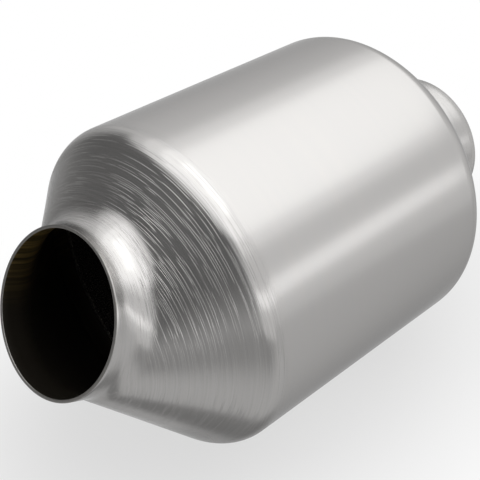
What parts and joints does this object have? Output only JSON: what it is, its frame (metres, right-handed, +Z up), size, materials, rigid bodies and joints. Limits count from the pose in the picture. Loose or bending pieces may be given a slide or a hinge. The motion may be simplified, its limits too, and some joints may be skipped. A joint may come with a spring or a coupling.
{
  "type": "catalytic converter",
  "caption": "Round spun-shell exhaust catalytic converter with a straight outlet neck and an inlet neck that leans up, around a matted ceramic honeycomb.",
  "frame": {"origin": "centre of the outlet mouth", "axes": "+X along the can's axis and out of the outlet, +Z up, on the side that the inlet neck leans to"},
  "size_m": [0.2166, 0.127, 0.127],
  "materials": {
    "stainless_shell": "satin stainless steel with roller marks on its spun ends",
    "coated_ceramic": "matt, porous, coated honeycomb",
    "fibre_mat": "dull pressed fibre",
    "knitted_wire": "dull knitted wire"
  },
  "bodies": {
    "root": {"spun_shell": "stainless_shell", "ceramic_brick": "coated_ceramic", "support_mat": "fibre_mat", "inlet_mesh_seal": "knitted_wire", "outlet_mesh_seal": "knitted_wire"}
  },
  "joints": []
}
